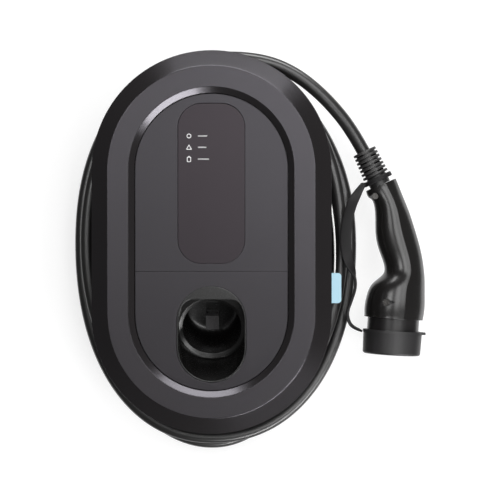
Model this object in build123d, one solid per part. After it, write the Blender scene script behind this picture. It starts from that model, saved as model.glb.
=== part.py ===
"""EV wallbox: a wall-mounted car charger with its cable wound on a drum behind the front cover.

Millimetres. +Z is up and the front faces -Y. The wall is the plane y = 0, and a depth "d" below is the
distance out from it, so y = -d. Every outline of the body is a vertical stadium about the same centre.
"""
import os
from math import asin, atan2, cos, degrees, hypot, radians, sin, sqrt, tan

from build123d import *

os.makedirs("parts", exist_ok=True)

# Body outline, from the rim inwards. SPAN is the distance between the end-arc centres of every stadium.
SPAN = 144.8
R_RIM = 121.0
BEZEL_W = 16.8
RING_W = 21.0
STEP_W = 6.0
RIM_LIP = 19.0
BACK_LIP = 11.0

# Depths, from the wall outwards
T_WALL = 3.5
T_FLOOR = 4.0
CHANNEL = 83.0
RIM_H = 27.0
BEZEL_DROP = 16.0
STEP_DROP = 5.0
T_PANEL = 4.0
T_SEAT = 3.0

# Clearances
FIT = 0.4
SLIP = 0.3
CLOSE = 0.1
PANEL_GAP = 0.6
SEAM = 0.5

UPPER = SPAN / 2
LOWER = -SPAN / 2
R_FACE = R_RIM - BEZEL_W
R_STEP = R_FACE - RING_W
R_RECESS = R_STEP - STEP_W
R_PANEL = R_RECESS - PANEL_GAP
R_DRUM = R_RIM - RIM_LIP
R_BAY = R_DRUM - T_WALL
R_BACK = R_RIM - BACK_LIP
D_CHANNEL = T_FLOOR + CHANNEL
D_FLANGE = D_CHANNEL + T_WALL
D_BEZEL = D_CHANNEL + RIM_H
D_FACE = D_BEZEL + BEZEL_DROP
D_PANEL = D_FACE - STEP_DROP
D_SEAT = D_PANEL - T_PANEL
D_UNDER = D_SEAT - T_SEAT

# Gasket between the flange and a rib in the cover
R_GASKET = R_RIM - 14.0
GASKET_W = 2.6
GASKET_T = 2.5
RIB_W = 3.0

# Panels and window
SPLIT_Z = LOWER + 42.7
WINDOW_W = 67.2
WINDOW_R = 24.0
WINDOW_TOP = UPPER + R_PANEL - 9.9
WINDOW_LOW = SPLIT_Z + 7.85
WINDOW_ROUND = 0.5
PANEL_ROUND = 0.6
FACE_ROUND = 1.4

# Status lamps behind the window
LAMP_X = -22.5
LAMP_PITCH = 11.75
LAMP_R = 2.0
LAMP_FOOT_R = 3.2
LAMP_FOOT_T = 5.4
LAMP_Z = [WINDOW_TOP - 32.8 - LAMP_PITCH * k for k in range(3)]
LAMP_STAND = 12.0
LAMP_BOARD_W = 56.0
LAMP_BOARD_H = 64.0
LAMP_POST_R = 3.0
T_BOARD = 1.6

# Cover screws: four on the arcs of the panels and two beside the window
SCREW_R = 2.0
SCREW_LEN = 14.0
HEAD_R = 3.7
HEAD_T = 2.2
KEY_R = 1.6
COLUMN_R = 5.0
SCREW_ARC = R_PANEL - 7.6
SCREW_ANGLE = 28.0
SCREW_X = SCREW_ARC * cos(radians(SCREW_ANGLE))
SCREW_Z = UPPER + SCREW_ARC * sin(radians(SCREW_ANGLE))
SIDE_X = R_PANEL - 18.6
COVER_SCREWS = [(x * s, z) for s in (1, -1) for x, z in ((SCREW_X, SCREW_Z), (SIDE_X, 0), (SCREW_X, -SCREW_Z))]

# Wall fixings and the supply entry
WALL_X = R_DRUM - 62.0
WALL_Z = UPPER + R_DRUM - 34.4
WALL_HOLE_R = 3.0
WALL_PAD_R = 9.0
WALL_PAD_T = 3.0
SUPPLY_Z = LOWER - R_DRUM + 62.4
SUPPLY_HOLE_R = 14.0
SUPPLY_BORE_R = 9.0
SUPPLY_FLANGE_R = 17.0
SUPPLY_FLANGE_T = 5.0

# Charging cable, its gland and the recess in the drum that the gland sits in
CABLE_R = 7.0
GLAND_D = 18.5
GLAND_R = CABLE_R + 3.0
GLAND_HEX = CABLE_R + 5.6
POCKET_DEPTH = 32.5
POCKET_X = R_DRUM - POCKET_DEPTH
GLAND_X = R_DRUM - 18.5
POCKET_Z0 = LOWER + 8.4
POCKET_Z1 = UPPER - 12.4
POCKET_D = 33.0
COIL_GAP = 0.3
COIL_D0 = T_FLOOR + COIL_GAP
COIL_D1 = D_CHANNEL - COIL_GAP
COIL_X = 2.5
COIL_Z = -12.0
COIL_A = R_DRUM + 42.5
COIL_B = UPPER + R_DRUM + 27.6
COIL_END_R = R_DRUM + 23.0
NOTCH_H = 88.0
NOTCH_D = 22.0

# Electronics
BOARD_D = POCKET_D + T_WALL + 1.5
BOARD_W = 2 * (SCREW_X - COLUMN_R - 13.9)
BOARD_H = 140.0
BOARD_Z = UPPER + 5.6
STAND_R = 4.0
STAND_EDGE = 5.0
BOARD_SCREW_R = 1.5
BOARD_HEAD_R = 2.9
BOARD_HEAD_T = 2.0
CONTACTOR = (46.0, 56.0, 34.0)
CONTACTOR_NOSE = (46.0, 36.0, 10.0)
CONTACTOR_Z = BOARD_Z + 28.0
MODULE = (30.0, 36.0, 22.0)
MODULE_Z = BOARD_Z - 25.0
MODULE_ROUND = 3.0
SENSOR_R = 17.0
SENSOR_BORE = 8.0
SENSOR_H = 16.0
SENSOR_Z = BOARD_Z - 66.0
BLOCK = (54.0, 28.0, 30.0)
BLOCK_Z = LOWER + 14.4
WAY_PITCH = 10.0
WAY_R = 3.4
WIRE_R = 2.1
WIRE_X = POCKET_X - T_WALL - 17.0

# Plug: it hangs at HANG_X, level with UPPER, with its parting plane PLUG_D out from the wall
HANG_X = R_RIM + 34.0
PLUG_D = D_CHANNEL - 29.0
BOOT_TOP = (HANG_X + 1.8, UPPER + 21.8)
BOOT_LEAN = 25.5
BOOT_LEN = 29.4
BOOT_R = CABLE_R + 3.4
RIBS = 7
RIB_PITCH = BOOT_LEN / RIBS
RIB_T = 2.7
RIB_R = CABLE_R + 5.4
RIB_GROW = 0.22
WINDOW_SLOT = 9.0
NECK_LEN = 9.4
NECK_R = CABLE_R + 4.0
STRAP_RING_R = NECK_R + 4.6
STRAP_RING_T = 4.8
NOSE_AT = (HANG_X + 32.1, UPPER - 151.0)
NOSE_LEAN = 3.5
NOSE_R = 26.6
NOSE_LEN = 34.0
NOSE_SEAT = 5.0
NOSE_FLAT = 23.4
SHELL_WALL = 3.0
CAP_R = NOSE_R + 4.4
CAP_START = 12.5
CAP_RIM = 3.0
CAP_FLOOR = 3.0
CAP_GAP = 0.35
TAB = (9.0, 6.0, 2.6)

# Shell sections from the boot down to the nose, from HANG_X and UPPER: left end, right end, half thickness
PLUG_SECTIONS = [
    ((3.7, -19.4), (34.2, -6.4), 15.0),
    ((9.4, -28.2), (40.9, -22.4), 16.0),
    ((13.0, -41.1), (47.6, -39.0), 17.5),
    ((13.5, -61.8), (52.8, -54.5), 18.5),
    ((17.1, -80.4), (58.5, -73.7), 19.5),
    ((22.5, -96.9), (62.6, -92.8), 21.0),
    ((21.3, -105.2), (64.0, -104.2), 23.0),
    ((10.9, -114.5), (64.5, -115.0), 27.0),
    ((4.7, -126.4), (64.5, -126.9), 29.5),
    ((2.3, -138.3), (64.3, -139.9), 30.5),
    ((2.0, -143.6), (63.5, -146.6), 30.5),
    ((1.8, -148.7), (62.4, -153.3), 30.5),
]
# A crease runs down each side of the shell: behind it the back of the grip is flatter than the ellipse
CREASE = 0.28
BACK_BULGE = (0.58, -0.7)
# Shell screws, from HANG_X and UPPER: place, height of the seat, and where the recess points
PLUG_SCREWS = [(12.8, -24.8, 5.0, 200.0), (23.0, -133.9, 21.5, 0.0)]
PLUG_HEAD_R = 3.2
PLUG_HEAD_T = 2.6
PLUG_SCREW_R = 1.5
RECESS_R = 3.6
RECESS_TIP = 8.5
BOSS_WALL = 2.4

# Dock: a stadium mouth in the panel, a ramp up to the rim of a tilted socket, and a visor over its top
DOCK_TILT = 25.0
RAMP_TILT = 30.5
SOCKET_R = NOSE_R + 3.15
SOCKET_T = 47.0
SOCKET_FLAT = SOCKET_R - 1.2
SOCKET_ROUND = 8.0
DOCK_R = SOCKET_R + 5.0
DOCK_SPAN = 27.0
DOCK_WALL = 1.4
DOCK_ROOM = 5.0
DOCK_SKIN = 2.6
DOCK_Z = LOWER - 20.3
RIM_RISE = 5.4
RIM_SINK = 22.0
VISOR_Z = DOCK_Z + DOCK_R + 0.35
VISOR_ROUND = 12.0
POST = (13.4, 15.5, 13.0)
POST_DROP = 11.0
STUD_X = 5.0
STUD_R = 0.9


def at(d):
    """The sketch plane d out from the wall: local x is X, local y is Z, its normal faces the front."""
    return Plane.XZ.offset(d)


def stadium(r):
    return SlotCenterToCenter(SPAN, 2 * r, rotation=90)


def slab(sketch, d0, d1):
    return extrude(at(d0) * sketch, d1 - d0)


def cone(r0, d0, r1, d1):
    return loft([at(d0) * stadium(r0), at(d1) * stadium(r1)], ruled=True)


def box(x0, x1, z0, z1, d0, d1):
    return slab(Pos((x0 + x1) / 2, (z0 + z1) / 2) * Rectangle(x1 - x0, z1 - z0), d0, d1)


def brick(x, z, size, d0):
    """A block of size (width, height, depth) about (x, z), standing on depth d0."""
    return slab(Pos(x, z) * Rectangle(size[0], size[1]), d0, d0 + size[2])


def pin(x, z, r, d0, d1):
    return slab(Pos(x, z) * Circle(r), d0, d1)


def point(x, z, d):
    return Vector(x, -d, z)


def front_edges(shape, d):
    return shape.edges().filter_by_position(Axis.Y, -d - 0.01, -d + 0.01)


def on_axis(plane, sketch, t0, t1):
    return extrude(plane.offset(t0) * sketch, t1 - t0)


def arcs(points, name):
    """A cord's path: straight runs joined by tangent arcs, each as large as its two runs allow."""
    pts = [point(*p) for p in points]
    runs = [(b - a).length for a, b in zip(pts, pts[1:])]
    radii = []
    for a, b, c, la, lb in zip(pts, pts[1:], pts[2:], runs, runs[1:]):
        half = radians((b - a).get_angle(c - b)) / 2
        radii.append(round(0.45 * min(la, lb) / tan(half), 1))
    print(name, "runs", [round(v, 1) for v in runs], "bend radii", radii)
    return FilletPolyline(*pts, radius=radii)


def tube(name, points, r):
    path = arcs(points, name)
    start = Plane(origin=point(*points[0]), z_dir=point(*points[1]) - point(*points[0]))
    return sweep(start * Circle(r), path)


def save(name, shape):
    export_step(shape, f"parts/{name}.step")


# Rear housing: floor, drum, front flange, the gland's recess, columns, stand-offs and wall pads
drum = slab(stadium(R_DRUM), 0, D_FLANGE)
rear = slab(stadium(R_BACK), 0, T_FLOOR) + drum
rear += slab(stadium(R_RIM - T_WALL - FIT), D_CHANNEL, D_FLANGE)
rear -= slab(stadium(R_BAY), T_FLOOR, D_FLANGE)
nook = box(POCKET_X - T_WALL, R_RIM, POCKET_Z0 - T_WALL, POCKET_Z1 + T_WALL, 0, POCKET_D + T_WALL)
rear += nook & drum
rear -= box(POCKET_X, R_RIM, POCKET_Z0, POCKET_Z1, T_FLOOR, POCKET_D)
gland_hole = Plane(origin=point(GLAND_X, POCKET_Z1, GLAND_D), z_dir=(0, 0, 1)) * Circle(GLAND_R + 2 * CLOSE)
rear -= extrude(gland_hole, T_WALL)
for x, z in COVER_SCREWS:
    rear += pin(x, z, COLUMN_R, T_FLOOR, D_UNDER)
    rear -= pin(x, z, SCREW_R + CLOSE / 2, D_UNDER - SCREW_LEN - 2, D_UNDER)
stand_x = BOARD_W / 2 - STAND_EDGE
BOARD_FIX = [(x, BOARD_Z + z) for x in (stand_x, -stand_x) for z in (-25.0, BOARD_H / 2 - STAND_EDGE)]
for x, z in BOARD_FIX:
    rear += pin(x, z, STAND_R, T_FLOOR, BOARD_D)
    rear -= pin(x, z, BOARD_SCREW_R + CLOSE / 2, BOARD_D - 9, BOARD_D)
for x in (-WALL_X, WALL_X):
    for z in (-WALL_Z, WALL_Z):
        rear += pin(x, z, WALL_PAD_R, T_FLOOR, T_FLOOR + WALL_PAD_T)
        rear -= pin(x, z, WALL_HOLE_R, 0, T_FLOOR + WALL_PAD_T)
rear -= pin(0, SUPPLY_Z, SUPPLY_HOLE_R, 0, T_FLOOR)
save("rear_housing", rear)

# Dock: its rim plane looks out and down, z runs in along the socket and local y is up across it
inward = (0, cos(radians(DOCK_TILT)), sin(radians(DOCK_TILT)))
ramp_way = (0, cos(radians(RAMP_TILT)), sin(radians(RAMP_TILT)))
rim_plane = Plane(origin=point(0, DOCK_Z + RIM_RISE, D_PANEL - RIM_SINK), x_dir=(-1, 0, 0), z_dir=inward)
DOCK_BACK = 2 * SOCKET_T


def dock_outline(r, up=0.0):
    """The stadium of the mouth with end radius r, its upper end raised by up."""
    return Pos(0, DOCK_Z + up / 2) * SlotCenterToCenter(DOCK_SPAN + up, 2 * r, rotation=90)


def scoop(outline, ramp, reach):
    """The space behind an outline on the panel's face, above the ramp of another, as far as the rim plane."""
    straight = slab(outline, D_PANEL - DOCK_BACK, D_PANEL)
    ramped = extrude(at(D_PANEL) * ramp, DOCK_BACK, dir=ramp_way)
    ahead = on_axis(rim_plane, Rectangle(8 * DOCK_R, 8 * DOCK_R), -DOCK_BACK, reach)
    return straight & ramped & ahead


dock_hole = slab(dock_outline(DOCK_R + SLIP), D_SEAT, D_PANEL)
dock_room = slab(dock_outline(DOCK_R + DOCK_ROOM), D_UNDER - 1, D_SEAT)
mouth = dock_outline(DOCK_R - DOCK_WALL) - Pos(0, VISOR_Z + DOCK_R) * Rectangle(4 * DOCK_R, 2 * DOCK_R)
mouth = fillet(mouth.vertices().group_by(Axis.Y)[-1], VISOR_ROUND)
socket = Circle(SOCKET_R) - Pos(0, SOCKET_FLAT + SOCKET_R) * Rectangle(4 * SOCKET_R, 2 * SOCKET_R)
dock = scoop(dock_outline(DOCK_R), Pos(0, -DOCK_SKIN) * dock_outline(DOCK_R, DOCK_R), DOCK_SKIN)
dock += on_axis(rim_plane, Circle(SOCKET_R + DOCK_SKIN), 0, SOCKET_T + DOCK_SKIN)
dock -= scoop(mouth, mouth, 0)
bore = on_axis(rim_plane, socket, -1, SOCKET_T)
bore_axis = Axis(rim_plane.origin, rim_plane.z_dir)
dock -= fillet(bore.edges().group_by(bore_axis)[-1], SOCKET_ROUND)
lead_w = DOCK_R - DOCK_WALL - SOCKET_R
lead_t = lead_w * tan(radians(DOCK_TILT))
dock -= loft([rim_plane * Circle(SOCKET_R + lead_w), rim_plane.offset(lead_t) * Circle(SOCKET_R)])
post_at = Pos(0, -POST_DROP)
dock += on_axis(rim_plane, post_at * Rectangle(POST[0], POST[1]), SOCKET_T - POST[2], SOCKET_T)
for x in (-STUD_X, STUD_X):
    top = rim_plane.from_local_coords(Vector(x, POST[1] / 2 - POST_DROP, SOCKET_T - POST[2] / 2))
    dock += extrude(Plane(origin=top, z_dir=rim_plane.y_dir) * Circle(STUD_R), STUD_R)
save("dock_socket", dock)

# Front cover: rim, sloping bezel, flat ring, the step down to the panels and their seat
outer = slab(stadium(R_RIM), D_CHANNEL, D_BEZEL) + cone(R_RIM, D_BEZEL, R_FACE, D_FACE)
outer = fillet(front_edges(outer, D_FACE), FACE_ROUND)
slope = hypot(BEZEL_W, BEZEL_DROP)
back_r = R_RIM - T_WALL
back_d = D_BEZEL - T_WALL * (slope - BEZEL_DROP) / BEZEL_W
top_d = D_FACE - T_WALL
top_r = back_r - (top_d - back_d) * BEZEL_W / BEZEL_DROP
void = slab(stadium(back_r), D_CHANNEL, back_d) + cone(back_r, back_d, top_r, top_d)
void -= slab(stadium(R_STEP + T_WALL), D_UNDER, D_FACE)
rib_d = D_FLANGE + GASKET_T
rib = slab(stadium(R_GASKET + RIB_W / 2), rib_d, D_FACE) - slab(stadium(R_GASKET - RIB_W / 2), rib_d, D_FACE)
cover = outer - void
cover += rib & outer
cover -= cone(R_RECESS, D_PANEL, R_STEP, D_FACE)
cover -= slab(stadium(R_RECESS), D_SEAT, D_PANEL)
cover -= dock_room
for x, z in COVER_SCREWS:
    cover -= pin(x, z, SCREW_R + SLIP, D_UNDER, D_SEAT)
for z in LAMP_Z:
    cover -= pin(LAMP_X, z, LAMP_R + SLIP, D_UNDER, D_SEAT)
lamp_board_d = D_UNDER - LAMP_STAND
lamp_top = lamp_board_d + T_BOARD
LAMP_POSTS = [(LAMP_BOARD_W / 2 - 2 * LAMP_POST_R, LAMP_Z[1] + s * (LAMP_BOARD_H / 2 - 6)) for s in (-1, 1)]
for x, z in LAMP_POSTS:
    cover += pin(x, z, LAMP_POST_R, lamp_top, D_UNDER)
save("front_cover", cover)

half = GASKET_W / 2
gasket = slab(stadium(R_GASKET + half), D_FLANGE, rib_d) - slab(stadium(R_GASKET - half), D_FLANGE, rib_d)
save("cover_gasket", gasket)

# Inset panels and the window between them
window_z = (WINDOW_TOP + WINDOW_LOW) / 2
window_h = WINDOW_TOP - WINDOW_LOW


def window_shape(gap):
    return Pos(0, window_z) * RectangleRounded(WINDOW_W + 2 * gap, window_h + 2 * gap, WINDOW_R + gap)


window = slab(window_shape(0), D_SEAT, D_PANEL)
window = fillet(front_edges(window, D_PANEL), WINDOW_ROUND)
save("display_window", window)
panel = slab(stadium(R_PANEL), D_SEAT, D_PANEL)
panel = fillet(front_edges(panel, D_PANEL), PANEL_ROUND)
for x, z in COVER_SCREWS:
    panel -= pin(x, z, HEAD_R + 0.5, D_SEAT, D_SEAT + HEAD_T + FIT)
tall = SPAN + 2 * R_RIM
upper = panel & box(-R_RIM, R_RIM, SPLIT_Z + SEAM / 2, tall, D_SEAT, D_PANEL)
upper -= slab(window_shape(SEAM / 2), D_SEAT, D_PANEL)
lower = (panel & box(-R_RIM, R_RIM, -tall, SPLIT_Z - SEAM / 2, D_SEAT, D_PANEL)) - dock_hole
save("upper_panel", upper)
save("lower_panel", lower)

screws = []
for x, z in COVER_SCREWS:
    one = pin(x, z, SCREW_R, D_UNDER - SCREW_LEN, D_SEAT) + pin(x, z, HEAD_R, D_SEAT, D_SEAT + HEAD_T)
    screws.append(one - slab(Pos(x, z) * RegularPolygon(KEY_R, 6), D_SEAT + HEAD_T / 2, D_SEAT + HEAD_T))
save("cover_screws", Compound(children=screws))

# Status lamps
save("indicator_board", brick(0, LAMP_Z[1], (LAMP_BOARD_W, LAMP_BOARD_H, T_BOARD), lamp_board_d))
guides = []
for z in LAMP_Z:
    foot = pin(LAMP_X, z, LAMP_FOOT_R, lamp_top, lamp_top + LAMP_FOOT_T)
    guides.append(foot + pin(LAMP_X, z, LAMP_R, lamp_top, D_SEAT))
save("light_guides", Compound(children=guides))

# Electronics: the board on its stand-offs and what it carries
board = brick(0, BOARD_Z, (BOARD_W, BOARD_H, T_BOARD), BOARD_D)
board_top = BOARD_D + T_BOARD
fixings = []
for x, z in BOARD_FIX:
    board -= pin(x, z, BOARD_SCREW_R + 2 * CLOSE, BOARD_D, board_top)
    head = pin(x, z, BOARD_HEAD_R, board_top, board_top + BOARD_HEAD_T)
    fixings.append(head + pin(x, z, BOARD_SCREW_R, BOARD_D - 8, board_top))
save("main_board", board)
save("board_screws", Compound(children=fixings))

contactor = brick(0, CONTACTOR_Z, CONTACTOR, board_top)
contactor += brick(0, CONTACTOR_Z, CONTACTOR_NOSE, board_top + CONTACTOR[2])
pole = CONTACTOR[0] / 4
pole_slot = (0.6 * pole, 9.0, CONTACTOR[2] * 0.4)
for k in range(4):
    for s in (-1, 1):
        z = CONTACTOR_Z + s * (CONTACTOR[1] - pole_slot[1]) / 2
        contactor -= brick(pole * (k - 1.5), z, pole_slot, board_top + CONTACTOR[2] - pole_slot[2])
save("contactor", contactor)

module = brick(0, MODULE_Z, MODULE, board_top)
save("power_module", fillet(module.edges().filter_by(Axis.Y), MODULE_ROUND))

sensor_plane = Plane(origin=point(0, SENSOR_Z, board_top + SENSOR_R), z_dir=(0, 0, 1))
sensor = extrude(sensor_plane * Circle(SENSOR_R), SENSOR_H)
sensor += brick(0, SENSOR_Z + SENSOR_H / 2, (2 * SENSOR_R, SENSOR_H, SENSOR_BORE / 2), board_top)
sensor -= extrude(sensor_plane * Circle(SENSOR_BORE), SENSOR_H)
save("leakage_sensor", sensor)

block = brick(0, BLOCK_Z, BLOCK, T_FLOOR)
entry = (0.7 * WAY_PITCH, 7.0, 9.0)
for k in range(-2, 3):
    block -= pin(k * WAY_PITCH, BLOCK_Z, WAY_R, T_FLOOR + BLOCK[2] * 0.6, T_FLOOR + BLOCK[2])
    for s in (-1, 1):
        block -= brick(k * WAY_PITCH, BLOCK_Z + s * (BLOCK[1] - entry[1]) / 2, entry, T_FLOOR + 6)
save("terminal_block", block)

grommet = pin(0, SUPPLY_Z, SUPPLY_HOLE_R - CLOSE, 0, T_FLOOR)
grommet += pin(0, SUPPLY_Z, SUPPLY_FLANGE_R, T_FLOOR, T_FLOOR + SUPPLY_FLANGE_T)
grommet -= pin(0, SUPPLY_Z, SUPPLY_BORE_R, 0, T_FLOOR + SUPPLY_FLANGE_T)
save("supply_grommet", grommet)


# Outlet gland, in line with the cable where it enters the housing
def up(z):
    return Plane(origin=point(GLAND_X, z, GLAND_D), x_dir=(1, 0, 0), z_dir=(0, 0, 1))


bore = Circle(CABLE_R + CLOSE)
FLANGE_T = 8.0
THREAD_T = 6.0
NUT_T = 9.6
DOME_T = 6.0
LOCK_T = 5.0
body = extrude(up(POCKET_Z1 - FLANGE_T) * (RegularPolygon(GLAND_HEX, 6) - bore), FLANGE_T)
body += extrude(up(POCKET_Z1) * (Circle(GLAND_R) - bore), T_WALL + LOCK_T + 5.5)
body += extrude(up(POCKET_Z1 - FLANGE_T - THREAD_T) * (Circle(GLAND_R - 1) - bore), THREAD_T)
save("outlet_gland_body", body)
nut_z = POCKET_Z1 - FLANGE_T - NUT_T - FIT
dome = extrude(up(nut_z) * RegularPolygon(GLAND_HEX - 0.2, 6), NUT_T)
dome += extrude(up(nut_z - DOME_T) * Circle(GLAND_R + 0.6), DOME_T)
dome -= extrude(up(POCKET_Z1 - FLANGE_T - THREAD_T) * Circle(GLAND_R - 0.8), THREAD_T)
dome -= extrude(up(nut_z - DOME_T) * Circle(CABLE_R + 0.5), NUT_T + DOME_T)
save("outlet_gland_nut", dome)
lock = RegularPolygon(GLAND_HEX + 0.6, 6) - Circle(GLAND_R + CLOSE / 2)
lock = extrude(up(POCKET_Z1 + T_WALL) * lock, LOCK_T)
save("outlet_lock_nut", lock)

# Charging cable: the wound coil's outer shape, the lead-in from the gland and the tail to the plug
side_r = (COIL_A**2 + (COIL_B - COIL_END_R) ** 2 - COIL_END_R**2) / (2 * (COIL_A - COIL_END_R))
turn = atan2(COIL_B - COIL_END_R, side_r - COIL_A)
tx = COIL_END_R * cos(turn)
tz = COIL_B - COIL_END_R + COIL_END_R * sin(turn)
oval = make_face(
    ThreePointArc((tx, tz), (COIL_A, 0), (tx, -tz))
    + ThreePointArc((tx, -tz), (0, -COIL_B), (-tx, -tz))
    + ThreePointArc((-tx, -tz), (-COIL_A, 0), (-tx, tz))
    + ThreePointArc((-tx, tz), (0, COIL_B), (tx, tz))
)
coil = slab(Pos(COIL_X, COIL_Z) * oval, COIL_D0, COIL_D1) - slab(stadium(R_DRUM + FIT), COIL_D0, COIL_D1)
# Room in front of the right-hand strands for the tag and the strap
coil -= box(R_DRUM + 4, HANG_X + 5, -NOTCH_H, NOTCH_H, COIL_D1 - NOTCH_D, COIL_D1)
save("cable_coil", coil)

lead_points = [
    (GLAND_X, POCKET_Z1 + 10, GLAND_D),
    (GLAND_X, POCKET_Z1 - 30, GLAND_D),
    (GLAND_X + 6.5, -18.0, 16.0),
    (GLAND_X + 24.0, -68.0, 12.0),
    (GLAND_X + 28.5, -112.0, 11.5),
]
lead = tube("cable_lead_in", lead_points, CABLE_R)
lead = lead & box(0, R_DRUM + FIT - CLOSE, POCKET_Z0 + 2 * CLOSE, POCKET_Z1 + 20, 0, 60)
save("cable_lead_in", lead)

lean = (sin(radians(BOOT_LEAN)), -cos(radians(BOOT_LEAN)))
BORE_T = BOOT_LEN + NECK_LEN - 4.8


def on_boot(t):
    return BOOT_TOP[0] + lean[0] * t, BOOT_TOP[1] + lean[1] * t


tail_points = [
    (-4.0, UPPER + R_DRUM + 13.9, D_CHANNEL - 8),
    (36.0, UPPER + R_DRUM + 16.1, D_CHANNEL - 9.5),
    (76.0, UPPER + R_DRUM + 2.6, D_CHANNEL - 13),
    (114.0, UPPER + R_DRUM - 26.4, D_CHANNEL - 19),
    (*on_boot(-16.0), PLUG_D),
    (*on_boot(BORE_T), PLUG_D),
]
save("cable_tail", tube("cable_tail", tail_points, CABLE_R))

# Strain-relief boot: a ribbed sleeve with windows between the ribs, and the ring that carries the strap
boot_plane = Plane(origin=point(*BOOT_TOP, PLUG_D), x_dir=(0, -1, 0), z_dir=(lean[0], 0, lean[1]))
boot_end = BOOT_LEN + NECK_LEN
boot = on_axis(boot_plane, Circle(BOOT_R), 0, BOOT_LEN)
boot += on_axis(boot_plane, Circle(NECK_R), BOOT_LEN, boot_end)
for k in range(RIBS):
    disc = on_axis(boot_plane, Circle(RIB_R + RIB_GROW * k), k * RIB_PITCH, k * RIB_PITCH + RIB_T)
    boot += fillet(disc.edges().filter_by(GeomType.CIRCLE), 0.9)
for k in range(RIBS - 1):
    slot = Rectangle(3 * BOOT_R, WINDOW_SLOT, rotation=45 + 90 * (k % 2))
    boot -= on_axis(boot_plane, slot, k * RIB_PITCH + RIB_T, (k + 1) * RIB_PITCH)
boot -= on_axis(boot_plane, Circle(CABLE_R + CLOSE / 2), 0, BORE_T)
boot -= on_axis(boot_plane, Circle(CABLE_R + 0.6), 0, 9.0)
save("cable_boot", boot)
ring = Circle(STRAP_RING_R) - Circle(NECK_R + CLOSE)
ring = on_axis(boot_plane, ring, BOOT_LEN + FIT, BOOT_LEN + FIT + STRAP_RING_T)
ring = fillet(ring.edges().filter_by(GeomType.CIRCLE).sort_by(SortBy.RADIUS)[-2:], STRAP_RING_T / 4)
save("strap_ring", ring)


# Plug shell: two hollow halves, each lofted through the same sections and closed on the parting plane
def half_section(left, right, thick, inset, sink):
    """Half an ellipse over the grip's belly, and from the crease a flatter arc to the edge of its back."""
    dx = right[0] - left[0]
    dz = right[1] - left[1]
    wide = hypot(dx, dz)
    mid = point(HANG_X + (left[0] + right[0]) / 2, UPPER + (left[1] + right[1]) / 2, PLUG_D)
    h = thick - inset
    w = wide / 2 - inset
    start = degrees(asin(CREASE))
    edge = (h * sqrt(1 - CREASE**2), -w * CREASE)
    belly = EllipticalCenterArc((0, 0), h, w, start_angle=-start, arc_size=90 + start)
    back = ThreePointArc((0, -w), (h * BACK_BULGE[0], w * BACK_BULGE[1]), edge)
    close = Polyline((0, w), (-sink, w), (-sink, -w), (0, -w)) if sink else Line((0, w), (0, -w))
    across = Plane(origin=mid, x_dir=(0, -1, 0), z_dir=(dz / wide, 0, -dx / wide))
    return across * make_face(belly + close + back)


def teardrop(x, z, r, tip, heading):
    """A round recess with a tail that runs out to a point."""
    tail = Polygon((0, r), (0, -r), (tip, 0), align=None)
    return Pos(x, z) * Rot(0, 0, heading) * (Circle(r) + tail)


skin = loft([half_section(*s, 0, 0) for s in PLUG_SECTIONS])
core = loft([half_section(*s, SHELL_WALL, SHELL_WALL / 3) for s in PLUG_SECTIONS[1:]])
neck = on_axis(boot_plane, Circle(NECK_R + CLOSE), BOOT_LEN, boot_end)
parting = at(PLUG_D)
shell_front = skin - core - neck
shell_rear = mirror(skin - core, about=parting) - neck
skin_rear = mirror(skin, about=parting)
deep = 2 * NOSE_R
boss_r = RECESS_R + BOSS_WALL
for dx, dz, seat, heading in PLUG_SCREWS:
    boss = teardrop(HANG_X + dx, UPPER + dz, boss_r, RECESS_TIP + 2 * BOSS_WALL, heading)
    shell_front += slab(boss, PLUG_D, PLUG_D + deep) & skin
    shell_rear += pin(HANG_X + dx, UPPER + dz, boss_r, PLUG_D - deep, PLUG_D) & skin_rear
plug_screws = []
for dx, dz, seat, heading in PLUG_SCREWS:
    x = HANG_X + dx
    z = UPPER + dz
    face = PLUG_D + seat
    shell_front -= slab(teardrop(x, z, RECESS_R, RECESS_TIP, heading), face, PLUG_D + deep)
    shell_front -= pin(x, z, PLUG_SCREW_R + 2 * CLOSE, PLUG_D, face)
    shell_rear -= pin(x, z, PLUG_SCREW_R + CLOSE / 2, PLUG_D - 9, PLUG_D)
    one = pin(x, z, PLUG_SCREW_R, PLUG_D - 8, face) + pin(x, z, PLUG_HEAD_R, face, face + PLUG_HEAD_T)
    one -= slab(Pos(x, z) * RegularPolygon(KEY_R - 0.2, 6), face + PLUG_HEAD_T / 2, face + PLUG_HEAD_T)
    plug_screws.append(one)

# Nose, contacts and cap, on the nose axis
nose_way = (-sin(radians(NOSE_LEAN)), 0, -cos(radians(NOSE_LEAN)))
nose_plane = Plane(origin=point(*NOSE_AT, PLUG_D), x_dir=(0, -1, 0), z_dir=nose_way)
nose_seat = on_axis(nose_plane, Circle(NOSE_R + CLOSE), -NOSE_SEAT, NOSE_SEAT)
save("plug_shell_front", shell_front - nose_seat)
save("plug_shell_rear", shell_rear - nose_seat)
save("plug_screws", Compound(children=plug_screws))

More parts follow.
